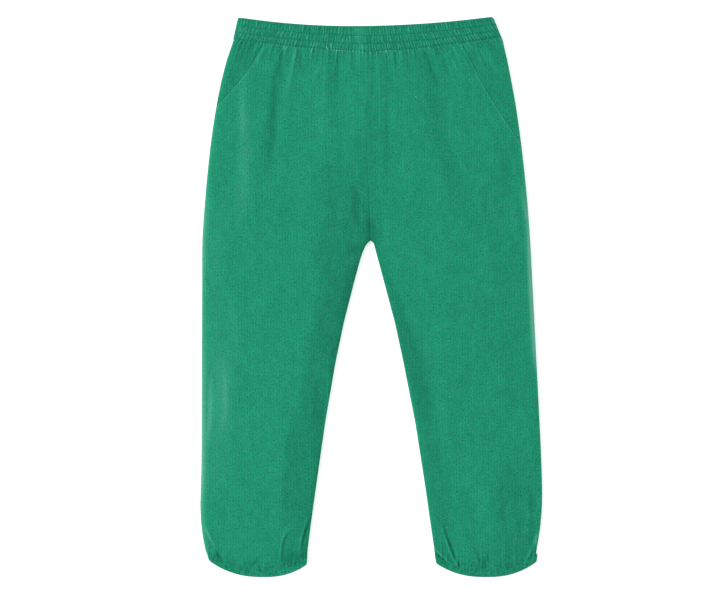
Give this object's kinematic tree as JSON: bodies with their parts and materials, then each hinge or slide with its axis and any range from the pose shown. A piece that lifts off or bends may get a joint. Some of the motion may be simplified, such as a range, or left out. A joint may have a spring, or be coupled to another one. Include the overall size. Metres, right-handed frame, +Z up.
{
  "type": "corduroy trousers",
  "caption": "Child's pull-on corduroy trousers laid flat, with an elastic channelled waistband, slanted hip pockets and round elastic hems.",
  "frame": {"origin": "centre of the laid-out trousers on the surface that they lie on", "axes": "+Y from the hems towards the waist, +X towards the wearer's left, +Z up out of the front"},
  "size_m": [0.2803, 0.4595, 0.0069],
  "materials": {
    "corduroy": "needlecord pile, soft sheen",
    "band_corduroy": "needlecord gathered over elastic",
    "hem_corduroy": "needlecord gathered over narrow elastic",
    "green_thread": "matt sewing thread",
    "white_thread": "matt sewing thread"
  },
  "bodies": {
    "root": {"waistband": "band_corduroy", "front_right": "corduroy", "front_left": "corduroy", "back_right": "corduroy", "back_left": "corduroy", "pocket_side_right": "corduroy", "pocket_side_left": "corduroy", "hem_casing_right": "hem_corduroy", "hem_casing_left": "hem_corduroy"}
  },
  "joints": []
}
